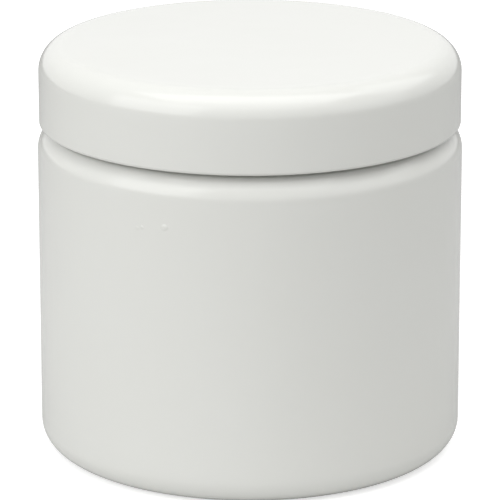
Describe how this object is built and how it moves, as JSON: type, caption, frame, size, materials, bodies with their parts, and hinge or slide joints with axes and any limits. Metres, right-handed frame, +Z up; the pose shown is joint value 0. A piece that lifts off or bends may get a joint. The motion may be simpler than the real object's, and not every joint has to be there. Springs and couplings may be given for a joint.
{
  "type": "kitchen canister",
  "caption": "Round white enamelled canister with a thick slip-over lid of the same width and a soft inner lid that plugs its mouth, for keeping dry food.",
  "frame": {"origin": "middle of the base, on the plane that the canister stands on", "axes": "+Z up along the canister's axis, through the lids; the inner lid's finger grip runs along X, and -Y faces the picture's camera"},
  "size_m": [0.105, 0.105, 0.1023],
  "materials": {
    "white_enamel": "glossy fused enamel on drawn steel",
    "soft_polyethylene": "satin, slightly translucent"
  },
  "bodies": {
    "canister": {"canister_body": "white_enamel"},
    "plug": {"inner_lid": "soft_polyethylene"},
    "cover": {"outer_lid": "white_enamel"}
  },
  "joints": [
    {"name": "inner_lid_pull", "type": "slide", "parent": "canister", "child": "plug", "axis": [0, 0, 1], "range_m": [0, 0.05]},
    {"name": "outer_lid_lift", "type": "slide", "parent": "plug", "child": "cover", "axis": [0, 0, 1], "range_m": [0, 0.06]}
  ]
}
